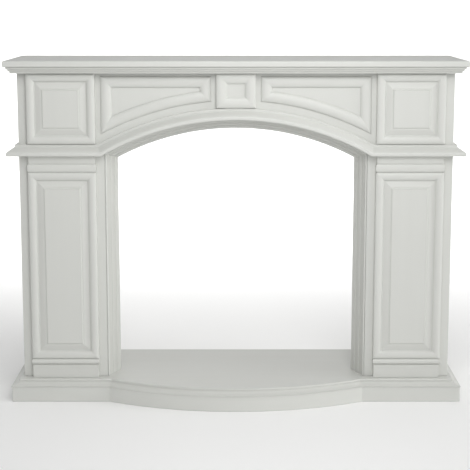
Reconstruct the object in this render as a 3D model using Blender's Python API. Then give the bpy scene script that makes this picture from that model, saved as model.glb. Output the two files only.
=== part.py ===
"""Painted wooden mantelpiece: shelf, cornice, arched frieze, panelled pilasters and a bowed hearth.

Metres, +X to the right, +Y to the wall, +Z up. The origin is on the floor, at the middle of the
bounding box, so the mantelpiece stands on z = 0 with its front towards -Y.
"""
import math

import bpy
import bmesh
import numpy as np

# Whole mantelpiece
OVERALL_HEIGHT = 1.100
BODY_WIDTH = 1.382            # across both jamb boards
BODY_DEPTH = 0.300            # from the face of the jamb boards back to the wall
BOARD = 0.018                 # thickness of the carcase and plinth boards
JOINT = 0.0003                # gap between two pieces that touch
ARC_STEPS = 22                # straight facets in a long arc
CURVE_STEPS = 5               # straight facets in a rounded moulding

# Opening
OPENING_WIDTH = 0.837         # between the edges of the jamb boards
ARCH_RISE = 0.110
CASING_RUN = 0.036            # how far the splayed casing narrows the opening on each side
CASING_DEPTH = 0.076          # how far it reaches back from the face
CASING_BEAD = 0.006           # bead along its front edge
CASING_STEP = 0.0015          # each step between its three bands
CASING_THICKNESS = 0.014

# Shelf and cornice, measured out from the faces of the pilasters and the sides of the body
SHELF_THICKNESS = 0.020
SHELF_OVERHANG = 0.036
SHELF_ROUND = 0.0050          # rounding of its upper and lower edges
CORNICE_HEIGHT = 0.020
CORNICE_OVERHANGS = (0.0165, 0.0215, 0.0270)   # three steps, from the lowest up
RAIL_HEIGHT = 0.120

# Pilasters and blocks
PILASTER_WIDTH = 0.217
PILASTER_INSET = 0.029        # strip of jamb board left plain outside each pilaster
PILASTER_PROJECTION = 0.0185
BLOCK_EDGE = 0.0130           # height of a block's side where its rounded frame starts
FRAME_CREST = 0.012           # from a block's edge in to the crest of its frame
FRAME_WIDTH = 0.0265
VALLEY_HEIGHT = 0.0100
BEVEL_WIDTH = 0.0185
BEVEL_HEIGHT = 0.0155
FIELD_MARGIN = 0.0035         # flat round the field, inside the bevel
FIELD_STEP = 0.0040
FIELD_HEIGHT = 0.0180
NECK_BAND_HEIGHT = 0.025
NECK_BEAD_HEIGHT = 0.028
BASE_BEAD_HEIGHT = 0.018
BASE_BLOCK_HEIGHT = 0.045
BEAD_SWELL = 0.0040           # how far a bead stands out from the band beside it
BAND_SETBACK = 0.0030         # how far the plain band lies behind the crest of the frames
ARRIS = 0.0020                # chamfer on the foot of a pilaster

# Ogee moulding of the arch, the pilaster heads and the sides
LEDGE_LAP = 0.005             # how far it hangs over the head of the jamb boards
LEDGE_HEIGHT = 0.036
LEDGE_PROJECTION = 0.0355
LEDGE_FILLET_HEIGHT = 0.0045
LEDGE_FILLET_PROJECTION = 0.0100
LEDGE_NOSE_HEIGHT = 0.0090
LEDGE_NOSE_ROUND = 0.0040
OGEE_FULLNESS = 0.35          # share of an ogee's run that its curve keeps to its direction at each end

# Frieze ornament
KEY_WIDTH = 0.125
KEY_HEIGHT = 0.111            # frieze between the arch moulding's crown and the cornice
KEY_FRAME_WIDTH = 0.034
KEY_CREST = 0.015
KEY_RECESS_HEIGHT = 0.0110
PANEL_GAP = 0.016             # plain frieze between a spandrel frame and the blocks beside it
PANEL_HEAD_GAP = 0.011        # plain frieze between a spandrel frame and the cornice
PANEL_ARCH_GAP = 0.0235       # plain frieze between a spandrel frame and the arch moulding
ROLL_WIDTH = 0.036
ROLL_HEIGHT = 0.0090

# Hearth and plinth, measured out from the faces of the pilasters and the sides of the body
PLINTH_HEIGHT = 0.070
HEARTH_THICKNESS = 0.021
HEARTH_MARGIN = 0.013         # flat hearth in front of the pilasters, up to its arris
HEARTH_RUN = 0.020            # how far the moulded edge comes out below the arris
HEARTH_ARRIS = 0.008          # height of its square edge, above the step
HEARTH_FILLET = 0.003         # width of the step at the head of its ogee
HEARTH_LIP = 0.0020           # its lowest fillet, past the plinth boards
BOW_WIDTH = 0.817             # between the ends of the bow, on the faces of the plinth boards
BOW_RISE = 0.098

# Worked out from the driving dimensions
half_width = BODY_WIDTH / 2
half_opening = OPENING_WIDTH / 2
plinth_overhang = HEARTH_MARGIN + HEARTH_RUN
front_reach = PILASTER_PROJECTION + plinth_overhang + HEARTH_LIP + BOW_RISE
face_y = (front_reach - BODY_DEPTH) / 2
back_y = face_y + BODY_DEPTH
pilaster_y = face_y - PILASTER_PROJECTION
shelf_z = OVERALL_HEIGHT - SHELF_THICKNESS
cornice_z = shelf_z - CORNICE_HEIGHT
key_z = cornice_z - KEY_HEIGHT
spring_z = key_z - LEDGE_HEIGHT - ARCH_RISE
ledge_z = spring_z - LEDGE_LAP
ledge_top = ledge_z + LEDGE_HEIGHT
arch_radius = (half_opening ** 2 + ARCH_RISE ** 2) / (2 * ARCH_RISE)
arch_centre = spring_z + ARCH_RISE - arch_radius
pilaster_outer = half_width - PILASTER_INSET
pilaster_inner = pilaster_outer - PILASTER_WIDTH

WHITE_PAINT = (0.62, 0.62, 0.59)
BARE_BOARD = (0.62, 0.57, 0.48)


def paint(name, colour):
    """Satin paint, or bare board, as a Principled material of the piece's own."""
    material = bpy.data.materials.new(name + "_finish")
    material.use_nodes = True
    shader = material.node_tree.nodes["Principled BSDF"]
    shader.inputs["Base Color"].default_value = (*colour, 1.0)
    shader.inputs["Roughness"].default_value = 0.45
    shader.inputs["Metallic"].default_value = 0.0
    return material


def loft(name, rings, colour=WHITE_PAINT, closed=False):
    """Closed solid through rings of equally many points, capped at both ends unless it is a loop."""
    shape = bmesh.new()
    rows = [[shape.verts.new(point) for point in ring] for ring in np.asarray(rings).tolist()]
    around = len(rows[0])
    for low, high in zip(rows, rows[1:] + rows[:1] if closed else rows[1:]):
        for j in range(around):
            k = (j + 1) % around
            shape.faces.new((low[j], low[k], high[k], high[j]))
    if not closed:
        shape.faces.new(rows[0])
        shape.faces.new(rows[-1])
    bmesh.ops.recalc_face_normals(shape, faces=shape.faces)
    mesh = bpy.data.meshes.new(name)
    shape.to_mesh(mesh)
    shape.free()
    mesh.shade_smooth()
    mesh.set_sharp_from_angle(angle=math.radians(30))
    mesh.materials.append(paint(name, colour))
    piece = bpy.data.objects.new(name, mesh)
    bpy.context.scene.collection.objects.link(piece)
    return piece


def in_plan(points, level):
    """Points of a plan (x, y) at heights z = level."""
    points = np.asarray(points, float)
    return np.column_stack([points, np.broadcast_to(level, len(points))])


def in_elevation(points, level):
    """Points of the front elevation (x, z), standing out from the face by level."""
    points = np.asarray(points, float)
    y = np.broadcast_to(face_y - np.asarray(level), len(points))
    return np.column_stack([points[:, 0], y, points[:, 1]])


def mitre_vectors(path, closed=False):
    """For each point of a plane path, the vector that carries an offset of one to the left of the run.

    It is the sum of the two runs' unit normals over one plus their dot product, so it lies on the
    mitre and keeps both offset runs parallel to the path.
    """
    ahead = np.roll(path, -1, axis=0) - path
    if not closed:
        ahead[-1] = ahead[-2]
    ahead /= np.linalg.norm(ahead, axis=1, keepdims=True)
    normal = np.column_stack([-ahead[:, 1], ahead[:, 0]])
    behind = np.roll(normal, 1, axis=0)
    if not closed:
        behind[0] = normal[0]
    return (normal + behind) / (1 + np.sum(normal * behind, axis=1, keepdims=True))


def stack(name, path, profile, place, closed=False, colour=WHITE_PAINT):
    """Solid whose outline is the path moved out by each profile offset, at each profile level."""
    path = np.asarray(path, float)
    mitres = mitre_vectors(path, closed)
    rings = [place(path + offset * mitres, level) for offset, level in profile]
    return loft(name, rings, colour)


def sweep(name, path, profile, place, first, last):
    """Solid that carries a closed profile of (offset, level) points along part of a path.

    Both ends lie on the path's mitres, each drawn back along its run to leave the joint.
    """
    path = np.asarray(path, float)
    mitres = mitre_vectors(path)[first:last + 1]
    offsets, levels = np.asarray(profile, float).T
    points = path[first:last + 1].copy()
    start_run = points[1] - points[0]
    end_run = points[-2] - points[-1]
    points[0] += start_run / np.linalg.norm(start_run) * JOINT
    points[-1] += end_run / np.linalg.norm(end_run) * JOINT
    rings = [place(point + offsets[:, None] * mitre, levels) for point, mitre in zip(points, mitres)]
    return loft(name, rings)


def box(name, low, high, colour=WHITE_PAINT):
    """Plain board between two corners."""
    corners = [(low[0], low[1]), (high[0], low[1]), (high[0], high[1]), (low[0], high[1])]
    return loft(name, [in_plan(corners, low[2]), in_plan(corners, high[2])], colour)


def ellipse(centre, radii, start, end, steps=CURVE_STEPS):
    """Points of an ellipse about a centre, from one angle to another in degrees."""
    angles = np.radians(np.linspace(start, end, steps + 1))
    return [(centre[0] + radii[0] * math.cos(a), centre[1] + radii[1] * math.sin(a)) for a in angles]


def s_curve(start, end, arrival, steps=CURVE_STEPS):
    """Cubic curve that leaves start along its second axis and reaches end along the arrival axis."""
    start, end = np.array(start), np.array(end)
    first = start + OGEE_FULLNESS * (end - start) * (0, 1)
    second = end - OGEE_FULLNESS * (end - start) * ((1, 0) if arrival == 0 else (0, 1))
    t = np.linspace(0, 1, steps + 1)[:, None]
    curve = ((1 - t) ** 3 * start + 3 * (1 - t) ** 2 * t * first
             + 3 * (1 - t) * t ** 2 * second + t ** 3 * end)
    return [tuple(point) for point in curve]


def arc_over(half_chord, radius, centre, steps=ARC_STEPS):
    """Points (x, z) of a circle from -half_chord to half_chord, passing over its centre."""
    reach = math.asin(half_chord / radius)
    angles = np.linspace(-reach, reach, steps + 1)
    return np.column_stack([radius * np.sin(angles), centre + radius * np.cos(angles)])


def u_path(half, front, back=back_y):
    """Plan of three sides round the front, from the back of the right side to the back of the left."""
    return np.array([(half, back), (half, front), (-half, front), (-half, back)])


def rectangle(x_low, x_high, z_low, z_high):
    """Outline that runs anticlockwise in elevation, so its inside is on the left."""
    return np.array([(x_low, z_low), (x_high, z_low), (x_high, z_high), (x_low, z_high)])


def rounded_frame(edge, crest_width, crest, width, valley):
    """Profile from a block's back over its side and round its frame, down to the inside of the frame."""
    outer = ellipse((crest_width, edge), (crest_width, crest - edge), 180, 90, 3)
    inner = ellipse((crest_width, valley), (width - crest_width, crest - valley), 90, 0, 4)
    return [(0, JOINT)] + outer + inner[1:]


def build_shelf():
    """Shelf with rounded edges, the cornice under it and the rail at the back."""
    rounding = (SHELF_ROUND, SHELF_ROUND)
    profile = ellipse((-SHELF_ROUND, shelf_z + SHELF_ROUND), rounding, -90, 0)
    profile += ellipse((-SHELF_ROUND, OVERALL_HEIGHT - SHELF_ROUND), rounding, 0, 90)
    stack("shelf_board", u_path(half_width + SHELF_OVERHANG, pilaster_y - SHELF_OVERHANG), profile, in_plan)

    lower, middle_step, upper = CORNICE_OVERHANGS
    rise = CORNICE_HEIGHT / len(CORNICE_OVERHANGS)
    steps = [
        (lower, cornice_z), (lower, cornice_z + rise),
        (middle_step, cornice_z + rise), (middle_step, cornice_z + 2 * rise),
        (upper, cornice_z + 2 * rise), (upper, shelf_z - JOINT),
    ]
    path = u_path(half_width, pilaster_y)
    names = ("cornice_right", "cornice_front", "cornice_left")
    for first, name in enumerate(names):
        inside = JOINT - (PILASTER_PROJECTION if name == "cornice_front" else 0)
        profile = steps + [(inside, shelf_z - JOINT), (inside, cornice_z)]
        sweep(name, path, profile, in_plan, first, first + 1)

    inside = half_width - BOARD - JOINT
    low = (-inside, back_y - BOARD, shelf_z - RAIL_HEIGHT)
    box("back_rail", low, (inside, back_y, shelf_z - JOINT), BARE_BOARD)


def build_boards():
    """Frieze board with its arch, the jamb boards beside the opening and the sides of the body."""
    arch = arc_over(half_opening, arch_radius, arch_centre)
    outline = np.vstack([
        [(-half_width, spring_z)], arch, [(half_width, spring_z)],
        [(half_width, shelf_z - JOINT)], [(-half_width, shelf_z - JOINT)],
    ])
    loft("frieze_board", [in_elevation(outline, 0), in_elevation(outline, -BOARD)])

    floor = PLINTH_HEIGHT + JOINT
    for name, side in (("left", -1), ("right", 1)):
        edges = sorted((side * half_opening, side * half_width))
        box(f"jamb_board_{name}", (edges[0], face_y, floor), (edges[1], face_y + BOARD, spring_z - JOINT))
        edges = sorted((side * (half_width - BOARD), side * half_width))
        low = (edges[0], face_y + BOARD + JOINT, floor)
        box(f"side_board_{name}", low, (edges[1], back_y, shelf_z - JOINT))


def ledge_profile():
    """Closed profile (height, projection) of the ogee: rounded nose, long curve and top fillet."""
    nose = ellipse((LEDGE_NOSE_ROUND, LEDGE_PROJECTION - LEDGE_NOSE_ROUND),
                   (LEDGE_NOSE_ROUND, LEDGE_NOSE_ROUND), 180, 90, 3)
    fillet = LEDGE_HEIGHT - LEDGE_FILLET_HEIGHT
    swell = s_curve((LEDGE_PROJECTION, LEDGE_NOSE_HEIGHT), (LEDGE_FILLET_PROJECTION, fillet), arrival=1)
    ogee = [(height, projection) for projection, height in swell]
    return [(0, JOINT)] + nose + ogee + [(LEDGE_HEIGHT, LEDGE_FILLET_PROJECTION), (LEDGE_HEIGHT, JOINT)]


def build_ledge():
    """The ogee moulding: over the arch, across the pilaster heads and back along both sides."""
    profile = ledge_profile()
    landing = math.sqrt(arch_radius ** 2 - (ledge_z - arch_centre) ** 2)
    path = np.vstack([
        [(-half_width, ledge_z)], arc_over(landing, arch_radius, arch_centre), [(half_width, ledge_z)],
    ])
    mitres = mitre_vectors(path)
    sweep("arch_moulding", path, profile, in_elevation, 1, len(path) - 2)

    heights, projections = np.array(profile).T
    for name, side, corner in (("left", -1, 1), ("right", 1, len(path) - 2)):
        outer = np.column_stack([side * (half_width + projections - JOINT), ledge_z + heights])
        inner = path[corner] + heights[:, None] * mitres[corner] + (side * JOINT, 0)
        loft(f"ledge_front_{name}", [in_elevation(outer, projections), in_elevation(inner, projections)])

    around = u_path(half_width, face_y)
    in_section = [(projection, ledge_z + height) for height, projection in profile]
    sweep("ledge_return_right", around, in_section, in_plan, 0, 1)
    sweep("ledge_return_left", around, in_section, in_plan, 2, 3)


def raised_panel(name, x_low, x_high, z_low, z_high):
    """Block with a rounded frame and a raised and fielded panel, planted on the boards."""
    bevel = FRAME_WIDTH + BEVEL_WIDTH
    field = bevel + FIELD_MARGIN
    profile = rounded_frame(BLOCK_EDGE, FRAME_CREST, PILASTER_PROJECTION, FRAME_WIDTH, VALLEY_HEIGHT) + [
        (bevel, BEVEL_HEIGHT), (field, BEVEL_HEIGHT), (field + FIELD_STEP, FIELD_HEIGHT),
    ]
    stack(name, rectangle(x_low, x_high, z_low, z_high), profile, in_elevation, closed=True)


def pilaster_band(name, x_low, x_high, profile):
    """Band round the front and both edges of a pilaster, set back from them all alike."""
    right, left, front = x_high - BAND_SETBACK, x_low + BAND_SETBACK, pilaster_y + BAND_SETBACK
    path = np.array([(right, face_y - JOINT), (right, front), (left, front), (left, face_y - JOINT)])
    stack(name, path, profile, in_plan)


def bead(z_low, z_high, edge):
    """Profile of a rounded bead between two heights, swelling out from its edge."""
    middle = (z_low + z_high) / 2
    return ellipse((edge, middle), (BEAD_SWELL, z_high - middle), -90, 90, CURVE_STEPS + 1)


def build_pilasters():
    """Foot, bead, panelled shaft, bead, plain neck and corner block, one above the other."""
    block_top = PLINTH_HEIGHT + BASE_BLOCK_HEIGHT
    shaft_low = block_top + BASE_BEAD_HEIGHT
    neck_low = ledge_z - NECK_BAND_HEIGHT
    shaft_high = neck_low - NECK_BEAD_HEIGHT
    for name, side in (("left", -1), ("right", 1)):
        x_low, x_high = sorted((side * pilaster_inner, side * pilaster_outer))
        foot = [
            (BAND_SETBACK, PLINTH_HEIGHT + JOINT), (BAND_SETBACK, block_top - ARRIS),
            (BAND_SETBACK - ARRIS, block_top - JOINT),
        ]
        pilaster_band(f"base_block_{name}", x_low, x_high, foot)
        pilaster_band(f"base_bead_{name}", x_low, x_high, bead(block_top, shaft_low - JOINT, 0))
        raised_panel(f"pilaster_{name}", x_low, x_high, shaft_low, shaft_high - JOINT)
        pilaster_band(f"neck_bead_{name}", x_low, x_high, bead(shaft_high, neck_low - JOINT, 0))
        pilaster_band(f"neck_band_{name}", x_low, x_high, [(0, neck_low), (0, ledge_z - JOINT)])
        raised_panel(f"corner_block_{name}", x_low, x_high, ledge_top + JOINT, cornice_z - JOINT)


def spandrel_outline(inset):
    """Left spandrel frame's outline, drawn in from its outer edge: an arc round the arch's centre
    below, and three straight sides.
    """
    radius = arch_radius + LEDGE_HEIGHT + PANEL_ARCH_GAP + inset
    near = KEY_WIDTH / 2 + PANEL_GAP + inset
    far = pilaster_inner - PANEL_GAP - inset
    top = cornice_z - PANEL_HEAD_GAP - inset
    angles = np.linspace(-math.asin(far / radius), -math.asin(near / radius), ARC_STEPS // 2)
    lower = np.column_stack([radius * np.sin(angles), arch_centre + radius * np.cos(angles)])
    return np.vstack([lower, [(-near, top)], [(-far, top)]])


def build_frieze_ornament():
    """Key block over the crown and the rounded frames in the spandrels."""
    half_key = KEY_WIDTH / 2
    frame = rounded_frame(BLOCK_EDGE, KEY_CREST, PILASTER_PROJECTION, KEY_FRAME_WIDTH, KEY_RECESS_HEIGHT)
    outline = rectangle(-half_key, half_key, key_z + JOINT, cornice_z - JOINT)
    stack("key_block", outline, frame, in_elevation, closed=True)

    half_roll = ROLL_WIDTH / 2
    roll = ellipse((half_roll, JOINT), (half_roll, ROLL_HEIGHT), 180, 0, CURVE_STEPS + 1)
    for name, side in (("left", 1), ("right", -1)):
        rings = [in_elevation(spandrel_outline(inset) * (side, 1), level) for inset, level in roll]
        loft(f"spandrel_roll_{name}", rings, closed=True)


def casing_profile():
    """Closed profile of the splayed casing: front bead, then three bands with a step between each.

    Offsets are negative, because they run from the edge of the boards into the opening, and levels
    are negative behind the face.
    """
    bead_radius = CASING_BEAD / 2
    profile = [(-JOINT, -bead_radius)]
    profile += ellipse((-bead_radius - JOINT, -bead_radius), (bead_radius, bead_radius), 45, 180, 4)
    slope_run = CASING_RUN - CASING_BEAD - JOINT - 2 * CASING_STEP
    slope_depth = CASING_DEPTH - CASING_BEAD
    offset, level = -CASING_BEAD - JOINT, -CASING_BEAD
    profile.append((offset, level))
    for band in range(3):
        offset -= slope_run / 3
        level -= slope_depth / 3
        profile.append((offset, level))
        if band < 2:
            offset -= CASING_STEP
            profile.append((offset, level))
    profile.append((offset + CASING_THICKNESS, level))
    profile.append((-JOINT, -BOARD - CASING_BEAD))
    return profile


def build_casing():
    """Splayed lining of the opening, up both jambs and round the arch."""
    arch = arc_over(half_opening, arch_radius, arch_centre)
    floor = PLINTH_HEIGHT
    path = np.vstack([[(-half_opening, floor)], arch, [(half_opening, floor)]])
    profile = casing_profile()
    sweep("casing_jamb_left", path, profile, in_elevation, 0, 1)
    sweep("casing_arch", path, profile, in_elevation, 1, len(path) - 2)
    sweep("casing_jamb_right", path, profile, in_elevation, len(path) - 2, len(path) - 1)


def plinth_path(half, front):
    """Plan of the plinth boards' faces, from the back right round the bow to the back left."""
    half_bow = BOW_WIDTH / 2
    radius = (half_bow ** 2 + BOW_RISE ** 2) / (2 * BOW_RISE)
    bow = arc_over(half_bow, radius, BOW_RISE - radius)[::-1] * (1, -1) + (0, front)
    return np.vstack([[(half, back_y)], [(half, front)], bow, [(-half, front)], [(-half, back_y)]])


def build_plinth():
    """Bowed hearth board with its moulded edge, on four plain boards."""
    path = plinth_path(half_width + plinth_overhang, pilaster_y - plinth_overhang)
    board_top = PLINTH_HEIGHT - HEARTH_THICKNESS
    ogee_top = PLINTH_HEIGHT - HEARTH_ARRIS
    ogee = s_curve((HEARTH_FILLET - HEARTH_RUN, ogee_top), (HEARTH_LIP, board_top + HEARTH_LIP), arrival=0)
    edge = [(HEARTH_LIP, board_top + JOINT)] + ogee[::-1] + [
        (-HEARTH_RUN, ogee_top), (-HEARTH_RUN, PLINTH_HEIGHT - ARRIS), (-HEARTH_RUN - ARRIS, PLINTH_HEIGHT),
    ]
    stack("hearth_board", path, edge, in_plan)

    board = [(0, 0), (0, board_top), (-BOARD, board_top), (-BOARD, 0)]
    last = len(path) - 1
    sweep("plinth_side_right", path, board, in_plan, 0, 1)
    sweep("plinth_front", path, board, in_plan, 1, last - 1)
    sweep("plinth_side_left", path, board, in_plan, last - 1, last)
    inside = half_width + plinth_overhang - BOARD - JOINT
    box("plinth_back", (-inside, back_y - BOARD, 0), (inside, back_y, board_top), BARE_BOARD)


for item in list(bpy.data.objects):
    bpy.data.objects.remove(item, do_unlink=True)

build_shelf()
build_boards()
build_ledge()
build_pilasters()
build_frieze_ornament()
build_casing()
build_plinth()
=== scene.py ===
"""A painted wooden mantelpiece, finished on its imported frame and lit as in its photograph.

Metres, +X to the right, +Y to the wall, +Z up. Each piece is run from its profile, as a joiner would
run it, and takes its place from the nodes that it stands for.
"""

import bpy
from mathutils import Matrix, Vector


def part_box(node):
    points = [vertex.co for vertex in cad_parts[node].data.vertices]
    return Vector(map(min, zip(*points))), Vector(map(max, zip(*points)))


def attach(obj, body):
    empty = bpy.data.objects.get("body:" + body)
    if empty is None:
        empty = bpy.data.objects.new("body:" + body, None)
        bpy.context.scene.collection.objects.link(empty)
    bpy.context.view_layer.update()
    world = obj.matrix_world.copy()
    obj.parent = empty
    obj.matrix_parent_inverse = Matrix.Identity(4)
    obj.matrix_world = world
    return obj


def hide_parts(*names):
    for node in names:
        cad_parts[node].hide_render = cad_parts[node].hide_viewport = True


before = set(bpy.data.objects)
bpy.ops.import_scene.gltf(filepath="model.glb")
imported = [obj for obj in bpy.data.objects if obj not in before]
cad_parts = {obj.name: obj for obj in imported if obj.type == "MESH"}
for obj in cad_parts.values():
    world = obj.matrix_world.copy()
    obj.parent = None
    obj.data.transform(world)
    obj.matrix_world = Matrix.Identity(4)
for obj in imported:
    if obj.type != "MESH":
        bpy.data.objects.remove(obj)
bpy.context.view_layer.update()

import math

import bmesh
import bpy
import numpy as np
from mathutils import Vector


# Boards of the body: two jamb boards and an arched frieze board in front, with a side board behind
# each end. They are cut from 18 mm board, glued edge to edge, and their arrises are rubbed round
# before three coats of satin white, which is brushed along each board.
JAMB_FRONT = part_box("jamb_board_left")[0].y
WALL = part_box("side_board_left")[1].y
HALF_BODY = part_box("jamb_board_right")[1].x
HALF_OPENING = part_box("jamb_board_right")[0].x
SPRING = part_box("frieze_board")[0].z
ARCH_RISE = 0.110
ARCH_RADIUS = (HALF_OPENING ** 2 + ARCH_RISE ** 2) / (2 * ARCH_RISE)
ARCH_CENTRE = SPRING + ARCH_RISE - ARCH_RADIUS
ARCH_STEPS = 96
BOARD_ARRIS = 0.0014
BOARD_RIM = 4             # arrises from a board's edge to the flat face that closes it
FRIEZE_RIM = 0.005        # the same on the frieze board, in metres
CORNER_ANGLE = 12         # degrees, past which a turn in a path is a mitred corner
CORNER_ROUND = 0.0008
CORNER_EASE = 0.0006      # from a rubbed corner to the next row of the run
SHARP_ANGLE = 27          # degrees, past which an edge isn't shaded smooth
SAME_PLACE = 1e-6         # points nearer to each other than this are one
PAINT_LIGHT = (0.628, 0.634, 0.606, 1.0)
PAINT_SHADE = (0.588, 0.594, 0.564, 1.0)
# colour that the grooves are darkened towards: painted shade
PAINTED_GROOVE_SHADE = (0.420, 0.424, 0.392, 1.0)
PAINT_ROUGHNESS = 0.36
MARKS_PER_METRE = (7, 850)      # along and across the run, as the laps are
LAPS_PER_METRE = (1.6, 38)
PEEL_PER_METRE = 520.0
CLOUDS_PER_METRE = 3.5
GROOVE_FADE = 0.0016


class Signal:
    """Shader socket to reckon with: each sum, difference or product of it is a Math node."""

    def __init__(self, finish, socket):
        self.finish, self.socket = finish, socket

    def reckon(self, operation, first, second):
        return self.finish.node("Math", {"operation": operation}, {0: first, 1: second})["Value"]

    def __add__(self, other):
        return self.reckon("ADD", self, other)

    def __radd__(self, other):
        return self.reckon("ADD", other, self)

    def __sub__(self, other):
        return self.reckon("SUBTRACT", self, other)

    def __rsub__(self, other):
        return self.reckon("SUBTRACT", other, self)

    def __mul__(self, other):
        return self.reckon("MULTIPLY", self, other)

    def __rmul__(self, other):
        return self.reckon("MULTIPLY", other, self)


class Finish:
    """A material being made up, round its Principled shader."""

    def __init__(self, name):
        self.material = bpy.data.materials.new(name)
        self.material.use_nodes = True
        self.tree = self.material.node_tree
        self.shader = self.tree.nodes["Principled BSDF"]

    def feed(self, node, sockets):
        """Gives sockets, by name or number, a value each or a link from a Signal."""
        for key, value in sockets.items():
            if isinstance(value, Signal):
                self.tree.links.new(value.socket, node.inputs[key])
            else:
                node.inputs[key].default_value = value

    def node(self, kind, settings, sockets):
        """Adds a node, with its settings made first, and returns its outputs by name."""
        node = self.tree.nodes.new("ShaderNode" + kind)
        for key, value in settings.items():
            setattr(node, key, value)
        self.feed(node, sockets)
        return {output.name: Signal(self, output) for output in node.outputs if output.enabled}

    def blend(self, share, first, second):
        """Colour that goes from the first to the second as the share goes from 0 to 1."""
        return self.node("Mix", {"data_type": "RGBA"}, {0: share, 6: first, 7: second})["Result"]


def satin_white(name, shift):
    """Satin white paint. Brush marks are noise drawn out along the run, 1 mm apart, over a faint
    orange peel; the coat is a little uneven in tone and gloss, and it dulls in the grooves, where
    its colour is also darkened as painted shade.
    The shift moves the marks, so that each piece has its own.
    """
    finish = Finish(name)
    place = finish.node("TexCoord", {}, {})["Object"]
    run = finish.node("UVMap", {"uv_map": "run"}, {})["UV"]
    marks_at = finish.node("Mapping", {}, {
        "Vector": run, "Location": (shift, shift, 0), "Scale": (*MARKS_PER_METRE, 1)})["Vector"]
    marks = finish.node("TexNoise", {"noise_dimensions": "2D"}, {
        "Vector": marks_at, "Scale": 1.0, "Detail": 3.0, "Roughness": 0.55})["Fac"]
    laps_at = finish.node("Mapping", {}, {
        "Vector": run, "Location": (0, shift, 0), "Scale": (*LAPS_PER_METRE, 1)})["Vector"]
    laps = finish.node("TexNoise", {"noise_dimensions": "2D"}, {
        "Vector": laps_at, "Scale": 1.0, "Detail": 2.0})["Fac"]
    peel = finish.node("TexNoise", {}, {"Vector": place, "Scale": PEEL_PER_METRE, "Detail": 1.0})["Fac"]
    cloud = finish.node("TexNoise", {}, {"Vector": place, "Scale": CLOUDS_PER_METRE, "Detail": 3.0})["Fac"]
    groove = finish.node("Attribute", {"attribute_name": "groove"}, {})["Fac"]
    shade = 0.55 * cloud + 0.30 * laps + 0.15 * marks
    coat = finish.blend(shade, PAINT_LIGHT, PAINT_SHADE)
    finish.feed(finish.shader, {
        # The groove attribute darkens the base colour as painted shade in grooves and joints, and raises the
        # roughness there.
        "Base Color": finish.blend(groove * 0.32, coat, PAINTED_GROOVE_SHADE),
        "Roughness": PAINT_ROUGHNESS + 0.10 * cloud + 0.05 * laps + 0.16 * groove,
        "Metallic": 0.0,
        "IOR": 1.47,
        "Normal": finish.node("Bump", {}, {
            "Strength": 0.35, "Distance": 0.00022, "Height": 0.6 * marks + 0.25 * peel + 0.5 * laps,
        })["Normal"],
    })
    return finish.material


def hollow(profile, ring):
    """How far each profile point lies in a groove, from 0 to 1: the inward turning of the profile
    at every point, summed with a weight that fades over 1.6 mm of its length.
    """
    ahead = np.roll(profile, -1, 0) - profile
    length = np.linalg.norm(ahead, axis=1)
    behind = np.roll(ahead, 1, 0)
    cross = behind[:, 0] * ahead[:, 1] - behind[:, 1] * ahead[:, 0]
    turn = np.arctan2(cross, np.sum(behind * ahead, axis=1))
    if ring:
        after = np.roll(profile, -1, 0)
        around = np.sum(profile[:, 0] * after[:, 1] - profile[:, 1] * after[:, 0])
        inward = np.maximum(-turn * np.sign(around), 0)
    else:
        inward = np.maximum(turn, 0)
        inward[[0, -1]] = 0
    at = np.cumsum(length) - length
    apart = np.abs(at[:, None] - at[None, :])
    if ring:
        apart = np.minimum(apart, length.sum() - apart)
    return np.minimum((inward * np.exp(-apart / GROOVE_FADE)).sum(axis=1), 1.0)


def skin(name, grid, material, groove, loop=False, ring=False, turned=False):
    """Closed surface over a grid of points, one row for each station and one column for each profile
    point. A loop joins the last station to the first, a ring the last profile point to the first,
    and a flat face closes each open end. The map named run holds metres along the stations and
    round the profile, or the other way about where the brush went across them, and the attribute
    named groove holds how far each profile point lies in a groove.
    """
    stations, points = grid.shape[:2]
    i, j = np.meshgrid(np.arange(stations - (not loop)), np.arange(points - (not ring)), indexing="ij")
    i, j = i.ravel(), j.ravel()
    ahead, beside = (i + 1) % stations, (j + 1) % points
    quads = np.stack([i * points + j, ahead * points + j, ahead * points + beside, i * points + beside], 1)
    middle = grid.mean(axis=1)
    along = np.concatenate([[0], np.cumsum(np.linalg.norm(np.roll(middle, -1, 0) - middle, axis=1))])
    step = np.linalg.norm(np.roll(grid, -1, 1) - grid, axis=2).mean(axis=0)
    across = np.concatenate([[0], np.cumsum(step)])
    run = np.stack([
        np.stack([along[i], along[i + 1], along[i + 1], along[i]], 1),
        np.stack([across[j], across[j], across[j + 1], across[j + 1]], 1),
    ], 2).reshape(-1, 2)
    if loop:
        caps = [] if ring else [np.arange(stations) * points, np.arange(stations) * points + points - 1]
    else:
        caps = [np.arange(points), (stations - 1) * points + np.arange(points)]
    flat = grid.reshape(-1, 3)
    for cap in caps:
        low_to_high = np.argsort(np.ptp(flat[cap], axis=0))
        end = flat[cap][:, [low_to_high[2], low_to_high[1]]]
        run = np.concatenate([run, end[:, ::-1] if turned else end])
    mesh = bpy.data.meshes.new(name)
    mesh.from_pydata(flat.tolist(), [], quads.tolist() + [cap.tolist() for cap in caps])
    brushed = run[:, ::-1] if turned else run
    mesh.uv_layers.new(name="run").data.foreach_set("uv", brushed.astype(np.float32).ravel())
    marked = mesh.attributes.new("groove", "FLOAT", "POINT")
    marked.data.foreach_set("value", np.tile(groove, stations).astype(np.float32))
    shape = bmesh.new()
    shape.from_mesh(mesh)
    bmesh.ops.remove_doubles(shape, verts=shape.verts, dist=SAME_PLACE)
    bmesh.ops.recalc_face_normals(shape, faces=shape.faces)
    shape.to_mesh(mesh)
    shape.free()
    mesh.shade_smooth()
    mesh.set_sharp_from_angle(angle=math.radians(SHARP_ANGLE))
    mesh.materials.append(material)
    piece = bpy.data.objects.new(name, mesh)
    bpy.context.scene.collection.objects.link(piece)
    return piece


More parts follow.
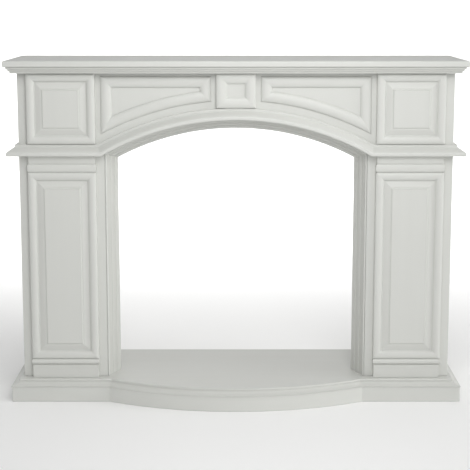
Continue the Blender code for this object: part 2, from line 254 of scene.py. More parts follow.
def settle(piece, slot, *nodes):
    """Fixes a piece to the root body in the place of its nodes, which it hides. The slot is not used."""
    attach(piece, "root")
    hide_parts(*nodes)


def rubbed(corners, radius, ring, steps=4):
    """Profile with its corners rubbed round. Each corner gives way to the parabola that leaves one
    side a radius before it and meets the other a radius after it, with one more point half as far
    again beyond each. A radius is held to 0.3 of the shorter side.
    """
    corners = np.asarray(corners, float)
    ahead = np.roll(corners, -1, 0) - corners
    behind = np.roll(corners, 1, 0) - corners
    radius = np.array(np.broadcast_to(radius, len(corners)), float)
    if not ring:
        ahead[-1], behind[0] = -behind[-1], -ahead[0]
        radius[[0, -1]] = 0
    before, after = np.linalg.norm(behind, axis=1), np.linalg.norm(ahead, axis=1)
    reach = np.minimum(radius, 0.3 * np.minimum(before, after))
    back, on = behind * (reach / before)[:, None], ahead * (reach / after)[:, None]
    u = np.linspace(0, 1, steps + 1)[None, :, None]
    curve = (1 - u) ** 2 * back[:, None] + u ** 2 * on[:, None]
    ease = np.concatenate([1.5 * back[:, None], curve, 1.5 * on[:, None]], axis=1)
    points = (corners[:, None] + ease).reshape(-1, 2)
    fresh = np.linalg.norm(points - np.roll(points, 1, 0), axis=1) > SAME_PLACE
    fresh[0] |= not ring
    return points[fresh]


def in_plan(flat, level):
    """Points of a plan, at a height."""
    return np.concatenate([flat, np.broadcast_to(level, flat.shape[:2])[..., None]], axis=2)


def in_front(flat, level):
    """Points of the front elevation, standing out from the jamb boards by a level."""
    out = np.broadcast_to(JAMB_FRONT - np.asarray(level), flat.shape[:2])[..., None]
    return np.concatenate([flat[..., :1], out, flat[..., 1:]], axis=2)


def carried(path, profile, place, radius=CORNER_ROUND, loop=False, steps=4):
    """Profile of (offset, level) points carried along a plane path, one row for each station.

    An offset goes to the left of the path along its mitre, which is the sum of the unit normals
    before and after the station over one plus their dot product. A turn past the corner angle gets
    a row on each side and is rubbed round by the same parabola as a profile's corner.
    """
    path, profile = np.asarray(path, float), np.asarray(profile, float)
    ahead = np.roll(path, -1, 0) - path
    if not loop:
        ahead[-1] = ahead[-2]
    ahead /= np.linalg.norm(ahead, axis=1, keepdims=True)
    behind = np.roll(ahead, 1, 0)
    if not loop:
        behind[0] = ahead[0]
    left, left_before = ahead[:, ::-1] * (-1, 1), behind[:, ::-1] * (-1, 1)
    mitre = (left + left_before) / (1 + np.sum(left * left_before, axis=1, keepdims=True))
    turn = np.arccos(np.clip(np.sum(ahead * behind, axis=1), -1, 1))
    corner = turn > math.radians(CORNER_ANGLE)
    count = np.where(corner, steps + 3, 1)
    row = np.repeat(np.arange(len(path)), count)
    step = np.arange(len(row)) - np.repeat(np.cumsum(count) - count, count)
    u = np.clip((step - 1) / steps, 0, 1)[:, None]
    reach = (radius * np.tan(turn / 2) * corner)[row][:, None]
    nudge = (CORNER_EASE * corner)[row][:, None]
    back = -behind[row] * ((1 - u) ** 2 * reach + nudge * (step == 0)[:, None])
    on = ahead[row] * (u ** 2 * reach + nudge * (step == steps + 2)[:, None])
    flat = (path[row] + back + on)[:, None] + profile[None, :, :1] * mitre[row][:, None]
    return place(flat, profile[:, 1])


def rectangle(low, high):
    """Corners of a rectangle, anticlockwise, so that its inside lies to the left."""
    return np.array([(low[0], low[1]), (high[0], low[1]), (high[0], high[1]), (low[0], high[1])])


def plank(name, low, high, material, arris=BOARD_ARRIS, turned=True):
    """Board between two corners, with all its arrises rubbed round."""
    rim = BOARD_RIM * arris
    profile = rubbed([(rim, low[2]), (0, low[2]), (0, high[2]), (rim, high[2])], arris, ring=False)
    path = rectangle(low[:2], high[:2])
    grid = carried(path, profile, in_plan, radius=arris, loop=True)
    return skin(name, grid, material, np.zeros(len(profile)), loop=True, turned=turned)


for number, node in enumerate((
        "jamb_board_left", "jamb_board_right", "side_board_left", "side_board_right")):
    board = plank("painted_" + node, *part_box(node), satin_white(node + "_paint", 3.1 * number))
    settle(board, "white_paint", node)

frieze_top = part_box("frieze_board")[1].z
swing = np.linspace(-1, 1, ARCH_STEPS + 1) * math.asin(HALF_OPENING / ARCH_RADIUS)
soffit = np.column_stack([ARCH_RADIUS * np.sin(swing), ARCH_CENTRE + ARCH_RADIUS * np.cos(swing)])
frieze_path = np.vstack([
    [(-HALF_BODY, SPRING)], soffit,
    [(HALF_BODY, SPRING), (HALF_BODY, frieze_top), (-HALF_BODY, frieze_top)],
])
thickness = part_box("frieze_board")[1].y - JAMB_FRONT
frieze_edge = rubbed(
    [(FRIEZE_RIM, -thickness), (0, -thickness), (0, 0), (FRIEZE_RIM, 0)], BOARD_ARRIS, ring=False)
frieze = skin("painted_frieze_board", carried(frieze_path, frieze_edge, in_front, loop=True),
              satin_white("frieze_paint", 14.2), np.zeros(len(frieze_edge)), loop=True)
settle(frieze, "white_paint", "frieze_board")


# Boards that nobody sees from the front: the rail that the mantelpiece is screwed to the wall
# through, and the back of the plinth. They are left as bare softwood, with the grain lengthways.
BARE_ARRIS = 0.0008
BARE_PALE = (0.660, 0.555, 0.400, 1.0)
BARE_DARK = (0.480, 0.350, 0.205, 1.0)
BENDS_PER_METRE = (1.2, 9)
FIBRES_PER_METRE = (9, 900)
RING_RATE = 620.0         # radians of the rings' wave to a metre across the board
RING_BEND = 26.0          # radians by which the slow noise moves it


def bare_softwood(name, shift):
    """Planed softwood: growth rings are bands across the board, bent by slow noise and drawn out
    along the grain, with fine fibres between them.
    """
    finish = Finish(name)
    run = finish.node("UVMap", {"uv_map": "run"}, {})["UV"]
    bend_at = finish.node("Mapping", {}, {
        "Vector": run, "Location": (shift, 0, 0), "Scale": (*BENDS_PER_METRE, 1)})["Vector"]
    bend = finish.node("TexNoise", {"noise_dimensions": "2D"}, {
        "Vector": bend_at, "Scale": 1.0, "Detail": 2.0})["Fac"]
    fibre_at = finish.node("Mapping", {}, {
        "Vector": run, "Location": (0, shift, 0), "Scale": (*FIBRES_PER_METRE, 1)})["Vector"]
    fibre = finish.node("TexNoise", {"noise_dimensions": "2D"}, {
        "Vector": fibre_at, "Scale": 1.0, "Detail": 3.0})["Fac"]
    across = finish.node("SeparateXYZ", {}, {"Vector": run})["Y"]
    rings = finish.node("Math", {"operation": "SINE"}, {0: RING_RATE * across + RING_BEND * bend})["Value"]
    dark = 0.34 + 0.20 * rings + 0.34 * (fibre - 0.5)
    finish.feed(finish.shader, {
        "Base Color": finish.blend(dark, BARE_PALE, BARE_DARK),
        "Roughness": 0.72 - 0.10 * dark,
        "Normal": finish.node("Bump", {}, {
            "Strength": 0.4, "Distance": 0.0003, "Height": fibre + 0.5 * rings,
        })["Normal"],
    })
    return finish.material


for number, node in enumerate(("back_rail", "plinth_back")):
    wood = bare_softwood(node + "_wood", 5.7 * number)
    board = plank("bare_" + node, *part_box(node), wood, arris=BARE_ARRIS, turned=False)
    settle(board, "bare_board", node)


# Plinth: a plain board across the front, steam-bent round the bow, with a board mitred to it at each
# end. The foot is rubbed round where it meets the floor.
HALF_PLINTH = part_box("plinth_side_right")[1].x
PLINTH_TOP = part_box("plinth_front")[1].z
PLINTH_BOARD = 0.018
PLINTH_ROUNDS = (0.0026, 0.0010, 0.0008, 0.0010)      # outer foot and head, inner head and foot
PLINTH_CORNER = 0.0030
HALF_BOW = 0.4085
BOW_RISE = 0.098
BOW_STEPS = 96
PLINTH_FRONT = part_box("plinth_front")[0].y + BOW_RISE
BOW_RADIUS = (HALF_BOW ** 2 + BOW_RISE ** 2) / (2 * BOW_RISE)

bow = np.linspace(1, -1, BOW_STEPS + 1) * math.asin(HALF_BOW / BOW_RADIUS)
bow_line = np.column_stack([
    BOW_RADIUS * np.sin(bow), PLINTH_FRONT - BOW_RADIUS * np.cos(bow) + BOW_RADIUS - BOW_RISE,
])
plinth_line = np.vstack([
    [(HALF_PLINTH, WALL), (HALF_PLINTH, PLINTH_FRONT)], bow_line,
    [(-HALF_PLINTH, PLINTH_FRONT), (-HALF_PLINTH, WALL)],
])
plinth_profile = rubbed(
    [(0, 0), (0, PLINTH_TOP), (-PLINTH_BOARD, PLINTH_TOP), (-PLINTH_BOARD, 0)],
    PLINTH_ROUNDS, ring=True)
plinth_grid = carried(plinth_line, plinth_profile, in_plan, radius=PLINTH_CORNER)
plinth = skin("painted_plinth", plinth_grid, satin_white("plinth_paint", 21.6),
              np.zeros(len(plinth_profile)), ring=True)
settle(plinth, "white_paint", "plinth_front", "plinth_side_left", "plinth_side_right")


# Hearth: one wide board that oversails the plinth by 2 mm. Its edge is moulded all round the front
# and sides with an arris, a small step and an ogee that ends in a square lip.
HEARTH_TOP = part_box("hearth_board")[1].z
HEARTH_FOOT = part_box("hearth_board")[0].z
HEARTH_RUN = 0.020
HEARTH_STEP = 0.003
HEARTH_ARRIS = 0.008
HEARTH_LIP = 0.0020
HEARTH_RIM = 0.012
HEARTH_ROUNDS = (0.0006, 0.0006, 0.0006, 0.0005, 0.0026)      # lip's foot and head, step and its back, arris
HEARTH_CORNER = 0.0022
OGEE_FULLNESS = 0.35


def cubic(start, first, second, end, steps):
    """Points of a cubic curve from its start to its end, with a first and a second handle between:
    the four are weighted by the terms of one minus t plus t, cubed.
    """
    t = np.linspace(0, 1, steps + 1)[:, None]
    return ((1 - t) ** 3 * start + 3 * (1 - t) ** 2 * t * first
            + 3 * (1 - t) * t ** 2 * second + t ** 3 * end)


def ogee(start, end, steps=16):
    """Points of an S-shaped moulding: a cubic that leaves its start along the second axis and
    reaches its end along the first, with a handle at the fullness of the way on each.
    """
    start, end = np.asarray(start, float), np.asarray(end, float)
    first = start + (end - start) * (0, OGEE_FULLNESS)
    second = end - (end - start) * (OGEE_FULLNESS, 0)
    return cubic(start, first, second, end, steps)


arris_foot = HEARTH_TOP - HEARTH_ARRIS
hearth_ogee = ogee((HEARTH_STEP - HEARTH_RUN, arris_foot), (HEARTH_LIP, HEARTH_FOOT + HEARTH_LIP))[::-1]
hearth_corners = np.vstack([
    [(-HEARTH_RIM, HEARTH_FOOT), (HEARTH_LIP, HEARTH_FOOT)], hearth_ogee,
    [(-HEARTH_RUN, arris_foot), (-HEARTH_RUN, HEARTH_TOP), (-HEARTH_RUN - HEARTH_RIM, HEARTH_TOP)],
])
hearth_radius = np.zeros(len(hearth_corners))
hearth_radius[[1, 2, -4, -3, -2]] = HEARTH_ROUNDS
hearth_profile = rubbed(hearth_corners, hearth_radius, ring=False)
hearth_grid = carried(plinth_line, hearth_profile, in_plan, radius=HEARTH_CORNER)
hearth = skin("painted_hearth", hearth_grid, satin_white("hearth_paint", 25.3),
              hollow(hearth_profile * (-1, 1), ring=False), loop=True)
settle(hearth, "white_paint", "hearth_board")


# Casing: a splayed lining, mitred at the springing of the arch and nailed inside the opening. Its
# front edge carries a small bead with a quirk behind it, then three bands with a fine step between.
CASING_RUN = 0.036
CASING_DEPTH = 0.076
CASING_BEAD = 0.006
CASING_BEAD_START = 35    # degrees of its round, from where it leaves the board
CASING_BANDS = 3
CASING_STEP = 0.0015
CASING_THICKNESS = 0.014
CASING_BACK = 0.024       # where its back leaves the board, behind its face
CASING_ARRIS = 0.0007
CASING_BACK_ARRIS = 0.0010
QUIRK_HEAD = 0.0010
QUIRK_WIDTH = 0.0012
QUIRK_DEPTH = 0.0004
JOINT = 0.0003

bead_radius = CASING_BEAD / 2
bead_turn = np.radians(np.linspace(CASING_BEAD_START, 180, 11))
bead_centre = (-bead_radius - JOINT, -bead_radius)
bead_curve = np.column_stack([np.cos(bead_turn), np.sin(bead_turn)]) * bead_radius + bead_centre
bead_back = -CASING_BEAD - JOINT
band = np.arange(1, CASING_BANDS + 1)
slope_run = (CASING_RUN - CASING_BEAD - JOINT - (CASING_BANDS - 1) * CASING_STEP) / CASING_BANDS
slope_depth = (CASING_DEPTH - CASING_BEAD) / CASING_BANDS
band_end = np.column_stack([
    bead_back - band * slope_run - (band - 1) * CASING_STEP, -CASING_BEAD - band * slope_depth,
])
band_start = band_end[:-1] - (CASING_STEP, 0)
casing_corners = np.vstack([
    [(-JOINT, -bead_radius)], bead_curve,
    [(bead_back, QUIRK_HEAD - CASING_BEAD), (bead_back + QUIRK_WIDTH, -CASING_BEAD - QUIRK_DEPTH)],
    np.stack([band_end[:-1], band_start], 1).reshape(-1, 2),
    [band_end[-1], band_end[-1] + (CASING_THICKNESS, 0), (-JOINT, -CASING_BACK)],
])
casing_radius = np.concatenate([
    np.zeros(len(bead_curve) + 1), [0, QUIRK_DEPTH], np.full(2 * CASING_BANDS - 1, CASING_ARRIS),
    [CASING_BACK_ARRIS, 0],
])
casing_profile = rubbed(casing_corners, casing_radius, ring=True, steps=3)


def arched(offset, level, swings):
    """Rows of a moulding round the arch. Each profile point keeps to its own circle about the arch's
    centre, from one mitre to the other, where that circle meets the upright at the same offset.
    """
    radius = ARCH_RADIUS + offset
    widest = np.arcsin((HALF_OPENING + offset) / radius)
    angle = swings[:, None] * widest
    return in_front(np.stack([radius * np.sin(angle), ARCH_CENTRE + radius * np.cos(angle)], 2), level)


def between(first, last, shares):
    """Rows on the straight lines from the first row to the last, at shares of the way."""
    return first + np.asarray(shares)[:, None, None] * (last - first)


swings = np.concatenate([[-1, -0.996], np.linspace(-0.98, 0.98, ARCH_STEPS + 1), [0.996, 1]])
casing_arch = arched(casing_profile[:, 0], casing_profile[:, 1], swings)
foot = casing_arch[0].copy()
foot[:, 2] = HEARTH_TOP + JOINT
left_jamb = between(foot, casing_arch[0], (0, 0.002, 0.25, 0.5, 0.75, 0.998))
right_jamb = left_jamb[::-1] * (-1, 1, 1)
casing = skin("painted_casing", np.concatenate([left_jamb, casing_arch, right_jamb]),
              satin_white("casing_paint", 31.4), hollow(casing_profile, ring=True), ring=True)
settle(casing, "white_paint", "casing_jamb_left", "casing_arch", "casing_jamb_right")


# Ogee moulding: one run of bolection that goes back along both sides, across the heads of the
# pilasters and up round the arch, mitred at every turn, glued and pinned to the boards. Its long
# curve is upright at both ends, so that it melts into the nose below and the small fillet above.
LEDGE_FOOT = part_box("ledge_front_left")[0].z
LEDGE_HEIGHT = 0.036
LEDGE_OUT = 0.0355
LEDGE_NOSE = 0.0090
LEDGE_NOSE_ROUND = 0.0040
LEDGE_FILLET = 0.0100
LEDGE_FILLET_HEIGHT = 0.0045
LEDGE_ARRIS = 0.0010

nose_turn = np.radians(np.linspace(180, 90, 9))
nose = LEDGE_NOSE_ROUND * (1 + np.column_stack([np.cos(nose_turn), np.sin(nose_turn)]))
nose += (0, LEDGE_OUT - 2 * LEDGE_NOSE_ROUND)
swell_foot = np.array((LEDGE_NOSE, LEDGE_OUT))
swell_head = np.array((LEDGE_HEIGHT - LEDGE_FILLET_HEIGHT, LEDGE_FILLET))
upright = (swell_head - swell_foot) * (OGEE_FULLNESS, 0)
swell = cubic(swell_foot, swell_foot + upright, swell_head - upright, swell_head, 20)
ledge_corners = np.vstack([
    [(0, JOINT)], nose, swell, [(LEDGE_HEIGHT, LEDGE_FILLET), (LEDGE_HEIGHT, JOINT)],
])
ledge_radius = np.zeros(len(ledge_corners))
ledge_radius[-2] = LEDGE_ARRIS
ledge_profile = rubbed(ledge_corners, ledge_radius, ring=True)
rise, out = ledge_profile.T

ledge_radii = ARCH_RADIUS + rise
landing = np.arccos((LEDGE_FOOT + rise - ARCH_CENTRE) / ledge_radii)
ledge_swing = swings[:, None] * landing
ledge_arch = in_front(np.stack([
    ledge_radii * np.sin(ledge_swing), ARCH_CENTRE + ledge_radii * np.cos(ledge_swing)], 2), out)
outer = np.column_stack([-HALF_BODY - out, JAMB_FRONT - out, LEDGE_FOOT + rise])
back = outer.copy()
back[:, 1] = WALL
left_run = np.concatenate([
    between(back, outer, (0, 0.003, 0.5, 0.997, 1)), between(outer, ledge_arch[0], (0.003, 0.5, 0.997)),
])
ledge_grid = np.concatenate([left_run, ledge_arch, left_run[::-1] * (-1, 1, 1)])
ledge = skin("painted_ogee_moulding", ledge_grid, satin_white("ogee_paint", 37.9),
             hollow(ledge_profile, ring=True), ring=True)
settle(ledge, "white_paint", "ledge_return_left", "ledge_front_left", "arch_moulding",
       "ledge_front_right", "ledge_return_right")


# Pilaster shafts and corner blocks: raised and fielded panels, each worked in one piece. A rounded
# frame falls through a small cove to a valley, from which a bevel climbs to a narrow flat and a low
# step. The corner blocks are fitted a little short, which leaves a dark line at their head and foot.
FRAME_EDGE = 0.0130
FRAME_CREST = 0.012
FRAME_TOP = 0.0185
FRAME_WIDTH = 0.0265
FRAME_FALL = 28           # degrees left of the round where the cove takes over
SIDE_ROW = 0.6            # share of the side's height at which it has a row
VALLEY = 0.0100
COVE = 0.0045
BEVEL_END = 0.045
BEVEL_TOP = 0.0155
BEVEL_ARRIS = 0.0008
FIELD_MARGIN = 0.0035
FIELD_STEP = 0.0040
FIELD_TOP = 0.0180
FIELD_RIM = 0.004
PANEL_CORNER = 0.0010
SHADOW_GAP = 0.0010


def oval(centre, radii, first, last, steps=10):
    """Points of an ellipse, from one angle to another in degrees."""
    angle = np.radians(np.linspace(first, last, steps + 1))
    return np.column_stack([centre[0] + radii[0] * np.cos(angle), centre[1] + radii[1] * np.sin(angle)])


def frame_curve(width, crest, valley, onward):
    """A block's side and the round of its frame, eased into the line that runs onward from its foot
    by a parabola, which starts before the round would stand upright.
    """
    outer_round = oval((crest, FRAME_EDGE), (crest, FRAME_TOP - FRAME_EDGE), 180, 90)
    inner_round = oval((crest, valley), (width - crest, FRAME_TOP - valley), 90, FRAME_FALL, 12)
    foot, onward = np.array((width, valley)), np.array(onward)
    landing = foot + (onward - foot) * COVE / np.linalg.norm(onward - foot)
    t = np.linspace(0, 1, 9)[1:, None]
    cove = (1 - t) ** 2 * inner_round[-1] + 2 * (1 - t) * t * foot + t ** 2 * landing
    return np.vstack([[(0, JOINT), (0, SIDE_ROW * FRAME_EDGE)], outer_round, inner_round[1:], cove])


framing = frame_curve(FRAME_WIDTH, FRAME_CREST, VALLEY, (BEVEL_END, BEVEL_TOP))
field_start = BEVEL_END + FIELD_MARGIN
step_curve = ogee((BEVEL_TOP, field_start), (FIELD_TOP, field_start + FIELD_STEP), 8)[:, ::-1]
panel_corners = np.vstack([
    framing, [(BEVEL_END, BEVEL_TOP)], step_curve,
    [(field_start + FIELD_STEP + FIELD_RIM, FIELD_TOP)],
])
panel_radius = np.zeros(len(panel_corners))
panel_radius[len(framing)] = BEVEL_ARRIS
panel_profile = rubbed(panel_corners, panel_radius, ring=False)
panel_groove = hollow(panel_profile, ring=False)
for number, node in enumerate((
        "pilaster_left", "pilaster_right", "corner_block_left", "corner_block_right")):
    low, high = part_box(node)
    gap = SHADOW_GAP if "corner" in node else 0
    path = rectangle((low.x, low.z + gap), (high.x, high.z - gap))
    panel = skin("painted_" + node, carried(path, panel_profile, in_front, radius=PANEL_CORNER, loop=True),
                 satin_white(node + "_paint", 41.0 + 2.3 * number), panel_groove, loop=True)
    settle(panel, "white_paint", node)


# Bands and beads of the pilasters: a plain foot block and a bead under each shaft, and a fuller bead
# and a plain neck over it. Each is returned round both edges of the pilaster to the boards.
BAND_RIM = 0.005
BAND_ARRIS = 0.0008
BAND_CORNER = 0.0010
FOOT_FLARE = 0.0020
FOOT_ARRIS = 0.0006
BEAD_SWELL = 0.0040
BEAD_EDGE = 0.0012
BEAD_ARRIS = 0.0003

for side in ("left", "right"):
    for number, part in enumerate(("base_block", "base_bead", "neck_bead", "neck_band")):
        node = f"{part}_{side}"
        low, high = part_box(node)
        if part == "base_block":
            spread = FOOT_FLARE
            face = np.array([(0, low.z), (0, high.z - FOOT_FLARE), (FOOT_FLARE, high.z)])
            arris = (0, BAND_ARRIS, BAND_ARRIS, FOOT_ARRIS, 0)
        elif part == "neck_band":
            spread = 0
            face = np.array([(0, low.z), (0, high.z - SHADOW_GAP)])
            arris = BAND_ARRIS
        else:
            spread = BEAD_SWELL
            half = (high.z - low.z) / 2
            round_face = oval((0, low.z + half), (BEAD_SWELL, half - BEAD_EDGE), -90, 90, 16)
            face = np.vstack([[(0, low.z)], round_face, [(0, high.z)]])
            arris = BEAD_ARRIS
        foot_rim, head_rim = (-BAND_RIM, face[0, 1]), (-BAND_RIM, face[-1, 1])
        profile = rubbed(np.vstack([foot_rim, face, head_rim]), arris, ring=False)
        path = np.array([
            (high.x - spread, JAMB_FRONT - JOINT), (high.x - spread, low.y + spread),
            (low.x + spread, low.y + spread), (low.x + spread, JAMB_FRONT - JOINT),
        ])
        band = skin("painted_" + node, carried(path, profile, in_plan, radius=BAND_CORNER),
                    satin_white(node + "_paint", 52.0 + 1.7 * number),
                    hollow(profile * (-1, 1), ring=False), loop=True)
        settle(band, "white_paint", node)


# Key block: a nearly square block of wood over the crown of the arch, with the same rounded frame
# round a flat recess. It is glued to the frieze, between the ogee moulding and the cornice.
KEY_FRAME = 0.034
KEY_CREST = 0.015
KEY_RECESS = 0.0110
KEY_RIM = 0.010

key_low, key_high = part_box("key_block")
key_rim = (KEY_FRAME + KEY_RIM, KEY_RECESS)
key_curve = frame_curve(KEY_FRAME, KEY_CREST, KEY_RECESS, key_rim)
key_profile = rubbed(np.vstack([key_curve, key_rim]), 0, ring=False)
key_path = rectangle((key_low.x, key_low.z), (key_high.x, key_high.z))
key = skin("painted_key_block", carried(key_path, key_profile, in_front, radius=PANEL_CORNER, loop=True),
           satin_white("key_paint", 61.7), hollow(key_profile, ring=False), loop=True)
settle(key, "white_paint", "key_block")


# Spandrel frames: low half-round mouldings planted on the frieze on either side of the key block,
# mitred at their four corners, with the lower side bent to follow the arch.
ROLL_WIDTH = 0.036
ROLL_HEIGHT = 0.0090
ROLL_ARCH_GAP = 0.0235

roll_low, roll_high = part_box("spandrel_roll_left")
roll_profile = oval((ROLL_WIDTH / 2, JOINT), (ROLL_WIDTH / 2, ROLL_HEIGHT - JOINT), 180, 0, 28)
inset, roll_level = roll_profile.T
roll_radius = ARCH_RADIUS + LEDGE_HEIGHT + ROLL_ARCH_GAP + inset
near, far = -roll_high.x + inset, -roll_low.x - inset
share = np.concatenate([[0, 0.006], np.linspace(0.03, 0.97, 64), [0.994, 1]])[:, None]
lean = -np.arcsin(far / roll_radius) * (1 - share) - np.arcsin(near / roll_radius) * share
lower = np.stack([roll_radius * np.sin(lean), ARCH_CENTRE + roll_radius * np.cos(lean)], 2)
head = roll_high.z - inset
upper_near, upper_far = np.stack([-near, head], 1), np.stack([-far, head], 1)
turns = (0.01, 0.99, 1)
roll_lines = np.concatenate([
    lower, between(lower[-1], upper_near, turns), between(upper_near, upper_far, turns),
    between(upper_far, lower[0], turns[:2]),
])
for side, turn in (("left", 1), ("right", -1)):
    roll = skin(f"painted_spandrel_frame_{side}", in_front(roll_lines * (turn, 1), roll_level),
                satin_white(f"spandrel_{side}_paint", 67.0 + turn),
                np.zeros(len(roll_profile)), loop=True, ring=True)
    settle(roll, "white_paint", f"spandrel_roll_{side}")


# Cornice: three small steps under the shelf, run in one length of moulding, mitred round the front
# and both ends and glued into the corner between the shelf and the blocks.
CORNICE_STEPS = (0.0165, 0.0215, 0.0270)
CORNICE_ROUNDS = (0.0010, 0.0010, 0.0008, 0.0010, 0.0008, 0.0010)     # of its corners, from the foot up

cornice_low, cornice_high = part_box("cornice_front")
block_face = cornice_low.y + CORNICE_STEPS[-1]
third = (cornice_high.z - cornice_low.z) / 3
levels = cornice_low.z + third * np.array([0, 1, 1, 2, 2, 3])
cornice_corners = np.vstack([
    np.column_stack([np.repeat(CORNICE_STEPS, 2), levels]),
    [(JOINT, cornice_high.z), (JOINT, cornice_low.z)],
])
cornice_profile = rubbed(cornice_corners, (*CORNICE_ROUNDS, 0, 0), ring=True)
cornice_path = [(HALF_BODY, WALL), (HALF_BODY, block_face), (-HALF_BODY, block_face), (-HALF_BODY, WALL)]
cornice = skin("painted_cornice", carried(cornice_path, cornice_profile, in_plan),
               satin_white("cornice_paint", 72.4), hollow(cornice_profile, ring=True), ring=True)
settle(cornice, "white_paint", "cornice_front", "cornice_left", "cornice_right")


# Shelf: one wide board, laid on the cornice and the boards and glued to them. Its upper and lower
# edges are rounded along its front and both ends, and it is painted as the boards are.
SHELF_ROUND = 0.0050
SHELF_EASE = 0.0004
SHELF_RIM = 0.004
SHELF_CORNER = 0.0030

shelf_low, shelf_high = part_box("shelf_board")
rounding = (SHELF_ROUND, SHELF_ROUND)
tangent = SHELF_ROUND + SHELF_EASE
shelf_profile = np.vstack([
    [(-tangent - SHELF_RIM, shelf_low.z), (-tangent, shelf_low.z)],
    oval((-SHELF_ROUND, shelf_low.z + SHELF_ROUND), rounding, -90, 0, 8),
    [(0, shelf_low.z + tangent), (0, shelf_high.z - tangent)],
    oval((-SHELF_ROUND, shelf_high.z - SHELF_ROUND), rounding, 0, 90, 8),
    [(-tangent, shelf_high.z), (-tangent - SHELF_RIM, shelf_high.z)],
])
shelf_path = [
    (shelf_high.x, WALL), (shelf_high.x, shelf_low.y), (shelf_low.x, shelf_low.y), (shelf_low.x, WALL),
]
shelf = skin("painted_shelf", carried(shelf_path, shelf_profile, in_plan, radius=SHELF_CORNER),
             satin_white("shelf_paint", 78.5), np.zeros(len(shelf_profile)), loop=True)
settle(shelf, "white_paint", "shelf_board")


# Floor: a plain sheet of pale paper, flat for 7 m round the mantelpiece and swept up in a curve beyond,
# so that no horizon shows behind it from any side.
FLOOR_MIDDLE = 2.0        # radius of the one flat face under the mantelpiece
FLOOR_RADIUS = 7.0
FLOOR_EASE = 0.2          # from the last flat ring to the foot of the curve
FLOOR_SPOKE = 5           # degrees between spokes
SWEEP_RADIUS = 3.0
SWEEP_STEPS = 18
PAPER_LIGHT = (0.95, 0.95, 0.945, 1)
PAPER_SHADE = (0.94, 0.94, 0.935, 1)

bend = np.radians(np.linspace(0, 90, SWEEP_STEPS + 1))
reach = np.concatenate([
    [FLOOR_MIDDLE, FLOOR_RADIUS - FLOOR_EASE], FLOOR_RADIUS + SWEEP_RADIUS * np.sin(bend),
])
height = np.concatenate([[0, 0], SWEEP_RADIUS * (1 - np.cos(bend))])
compass = np.radians(np.arange(0, 360, FLOOR_SPOKE))
floor_points = np.stack(np.broadcast_arrays(
    reach[:, None] * np.cos(compass), reach[:, None] * np.sin(compass), height[:, None]), 2)
ring, spoke = np.meshgrid(np.arange(len(reach) - 1), np.arange(len(compass)), indexing="ij")
here, beside = ring * len(compass) + spoke, ring * len(compass) + (spoke + 1) % len(compass)
floor_faces = np.stack([here, here + len(compass), beside + len(compass), beside], 2).reshape(-1, 4)
floor_mesh = bpy.data.meshes.new("floor")
floor_mesh.from_pydata(floor_points.reshape(-1, 3).tolist(), [],
                       [np.arange(len(compass)).tolist()] + floor_faces.tolist())
floor_mesh.shade_smooth()
floor = bpy.data.objects.new("floor", floor_mesh)
bpy.context.scene.collection.objects.link(floor)
paper = Finish("floor_paper")
spot = paper.node("TexCoord", {}, {})["Object"]
patch = paper.node("TexNoise", {}, {"Vector": spot, "Scale": 2.0})["Fac"]
paper.feed(paper.shader, {"Base Color": paper.blend(patch, PAPER_LIGHT, PAPER_SHADE), "Roughness": 0.9})
floor_mesh.materials.append(paper.material)


# Lights: a large softbox nearly 7 m to the right and 1.9 m high, two small ones in front, four large
# ones that wash the paper on every side, and an even pale sky that fills the shadows.
WASH_WIDTH = 5.0
WASH_HEIGHT = 4.0
WASH_REACH = 4.5          # from the middle of the floor to each lamp
WASH_AIM = 6.5            # and to the spot on the paper that it is turned to
WASH_FAN = 150
SKY_STRENGTH = 0.43


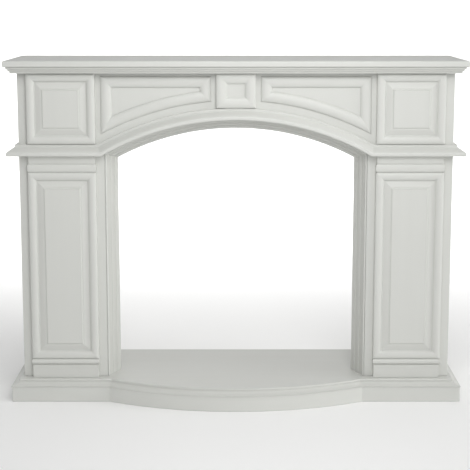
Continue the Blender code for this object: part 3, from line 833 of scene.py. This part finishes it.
def soft_light(name, power, width, place, aim, fan):
    """Square softbox at a place, turned towards an aim. Its grid lets the light fan out by an angle
    in degrees.
    """
    lamp = bpy.data.lights.new(name, "AREA")
    lamp.energy, lamp.size, lamp.spread = power, width, math.radians(fan)
    light = bpy.data.objects.new(name, lamp)
    light.location = place
    light.rotation_euler = (Vector(aim) - Vector(place)).to_track_quat("-Z", "Y").to_euler()
    bpy.context.scene.collection.objects.link(light)


soft_light("side_light", power=30, width=3.0, place=(6.8, -1.4, 1.9), aim=(0, 0, 0.6), fan=70)
soft_light("front_light", power=6.5, width=1.2, place=(0.3, -2.0, 1.5), aim=(0, 0, 0.7), fan=120)
soft_light("high_light", power=7, width=1.2, place=(0.2, -1.7, 2.3), aim=(0, 0, 0.9), fan=120)
for side, (x, y), wash_power in (
        ("right", (1, 0), 40), ("left", (-1, 0), 40), ("front", (0, -1), 40), ("back", (0, 1), 350)):
    lamp_place = (WASH_REACH * x, WASH_REACH * y, WASH_HEIGHT)
    paper_place = (WASH_AIM * x, WASH_AIM * y, 0)
    soft_light(f"wash_light_{side}", wash_power, WASH_WIDTH, lamp_place, paper_place, WASH_FAN)
sky = bpy.data.worlds.new("pale_sky")
sky.use_nodes = True
sky.node_tree.nodes["Background"].inputs["Color"].default_value = (1, 1, 1, 1)
sky.node_tree.nodes["Background"].inputs["Strength"].default_value = SKY_STRENGTH
bpy.context.scene.world = sky
bpy.context.scene.view_settings.view_transform = "Standard"


# Camera: in front of the middle, a little above the shelf and tilted slightly down. The lens shift makes
# up the rest of the drop to the middle of the mantelpiece, so that its uprights stay nearly parallel.
CAMERA_DISTANCE = 3.80
CAMERA_HEIGHT = 1.30
CAMERA_TILT = 0.151       # radians below level
CAMERA_LENS = 92.27       # millimetres, as the sensor is
CAMERA_SENSOR = 36
CAMERA_SHIFT = (-0.0021, -0.1191)

view = bpy.data.cameras.new("camera")
view.sensor_width = CAMERA_SENSOR
view.lens = CAMERA_LENS
view.shift_x, view.shift_y = CAMERA_SHIFT
camera = bpy.data.objects.new("camera", view)
camera.location = (0, JAMB_FRONT - CAMERA_DISTANCE, CAMERA_HEIGHT)
camera.rotation_euler = (math.radians(90) - CAMERA_TILT, 0, 0)
bpy.context.scene.collection.objects.link(camera)
bpy.context.scene.camera = camera
